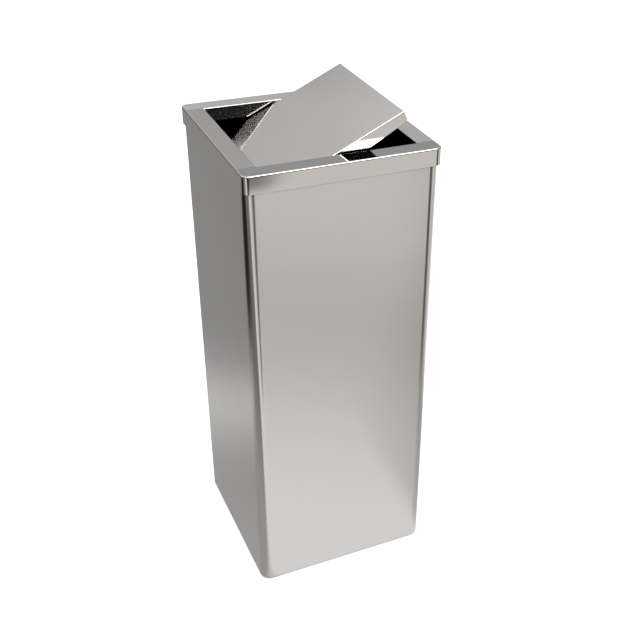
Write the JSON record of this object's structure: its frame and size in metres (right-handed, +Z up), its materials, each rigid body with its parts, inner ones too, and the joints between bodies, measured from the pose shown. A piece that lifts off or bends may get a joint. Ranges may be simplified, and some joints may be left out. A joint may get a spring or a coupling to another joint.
{
  "type": "flip-lid trash can",
  "caption": "Square free-standing steel kitchen bin with a lift-off lid frame and a flap that swings both ways on a pivot line through the middle of the opening.",
  "frame": {"origin": "on the floor in the middle of the square footprint", "axes": "+Z up, -Y to the front, -X to the side of the flap that is down at rest"},
  "size_m": [0.2828, 0.2828, 0.7476],
  "materials": {
    "brushed_steel": "stainless sheet with a fine satin grain",
    "plain_steel": "plain mill-finish stainless steel",
    "rubber": "matte black rubber",
    "bush_plastic": "natural white nylon"
  },
  "bodies": {
    "bin": {"body_shell": "brushed_steel", "base_pan": "plain_steel", "foot_front_left": "rubber", "foot_front_right": "rubber", "foot_back_left": "rubber", "foot_back_right": "rubber", "foot_rivets": "plain_steel"},
    "lid": {"front_rail": "brushed_steel", "back_rail": "brushed_steel", "left_rail": "brushed_steel", "right_rail": "brushed_steel", "joint_plate_front_left": "plain_steel", "joint_plate_front_right": "plain_steel", "joint_plate_back_left": "plain_steel", "joint_plate_back_right": "plain_steel", "bush_front": "bush_plastic", "bush_back": "bush_plastic"},
    "flap": {"flap_plate": "brushed_steel", "pivot_bolt_front": "plain_steel", "pivot_bolt_back": "plain_steel", "drag_washer_front": "bush_plastic", "drag_washer_back": "bush_plastic", "spring_washer_front": "plain_steel", "spring_washer_back": "plain_steel", "lock_nut_front": "plain_steel", "lock_nut_back": "plain_steel"}
  },
  "joints": [
    {"name": "lid_lift", "type": "slide", "parent": "bin", "child": "lid", "axis": [0, 0, 1], "range_m": [0, 0.15]},
    {"name": "flap_swing", "type": "hinge", "parent": "lid", "child": "flap", "pos_m": [0, 0, 0.692], "axis": [0, -1, 0], "range_deg": [-115, 65]}
  ]
}
